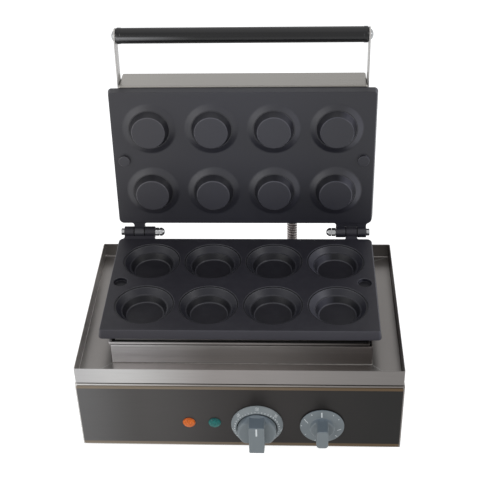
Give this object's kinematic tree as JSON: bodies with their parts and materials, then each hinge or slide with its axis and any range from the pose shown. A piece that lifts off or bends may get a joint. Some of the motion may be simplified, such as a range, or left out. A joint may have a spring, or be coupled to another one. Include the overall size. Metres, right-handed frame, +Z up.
{
  "type": "egg tart maker",
  "caption": "Countertop tart maker: steel base with dials and drip tray, a heated plate of stepped cups and a hinged upper plate of matching studs under a round grip.",
  "frame": {"origin": "middle of the whole object's outline on the table it stands on, lid open", "axes": "+X to the user's right, +Y away from the user towards the hinge, +Z up"},
  "size_m": [0.41, 0.3596, 0.4518],
  "materials": {
    "steel": "satin stainless sheet",
    "panel": "graphite brushed overlay",
    "cast": "dark non-stick coating on cast aluminium",
    "bright": "plated steel",
    "galvanised": "dull zinc",
    "knob": "blue grey satin",
    "grip": "black heat-proof plastic",
    "ceramic": "white heat-proof insulation",
    "lens_orange": "clear tinted lens",
    "lens_green": "clear tinted lens",
    "rubber": "matt black"
  },
  "bodies": {
    "base": {"base_shell": "steel", "bottom_plate": "galvanised", "cap_nut_left": "bright", "cap_nut_right": "bright", "conduit": "bright", "conduit_gland_base": "bright", "cord_gland": "rubber", "drip_tray": "steel", "foot_1": "rubber", "foot_2": "rubber", "foot_3": "rubber", "foot_4": "rubber", "front_panel": "panel", "heater_neck": "steel", "hinge_bolt_left": "bright", "hinge_bolt_right": "bright", "hinge_nut_left": "bright", "hinge_nut_right": "bright", "lamp_body_green": "ceramic", "lamp_body_orange": "ceramic", "lamp_lens_green": "lens_green", "lamp_lens_orange": "lens_orange", "lower_element": "galvanised", "lower_plate": "cast", "lower_reflector": "galvanised", "sensor_bulb": "bright", "temp_scale_ring": "knob", "terminal_block": "ceramic", "thermostat_body": "ceramic", "timer_body": "galvanised"},
    "lid": {"upper_plate": "cast", "upper_cover": "steel", "upper_element": "galvanised", "upper_reflector": "galvanised", "handle_arm_left": "steel", "handle_arm_right": "steel", "grip": "grip", "grip_rod": "bright", "grip_screw_left": "bright", "grip_screw_right": "bright", "arm_screw_1": "bright", "arm_screw_2": "bright", "arm_screw_3": "bright", "arm_screw_4": "bright", "conduit_gland_lid": "bright"},
    "temp_dial": {"temp_knob": "knob", "temp_shaft": "bright"},
    "timer_dial": {"timer_knob": "knob", "timer_shaft": "bright"}
  },
  "joints": [
    {"name": "lid_hinge", "type": "hinge", "parent": "base", "child": "lid", "pos_m": [0, 0.10526, 0.16767], "axis": [1, 0, 0], "range_deg": [0, 94.71], "deforming": ["conduit"]},
    {"name": "temp_dial_turn", "type": "hinge", "parent": "base", "child": "temp_dial", "pos_m": [0.0219, -0.15054, 0.0495], "axis": [0, 1, 0], "range_deg": [0, 300]},
    {"name": "timer_dial_turn", "type": "hinge", "parent": "base", "child": "timer_dial", "pos_m": [0.1042, -0.15054, 0.049], "axis": [0, 1, 0], "range_deg": [0, 320]}
  ]
}
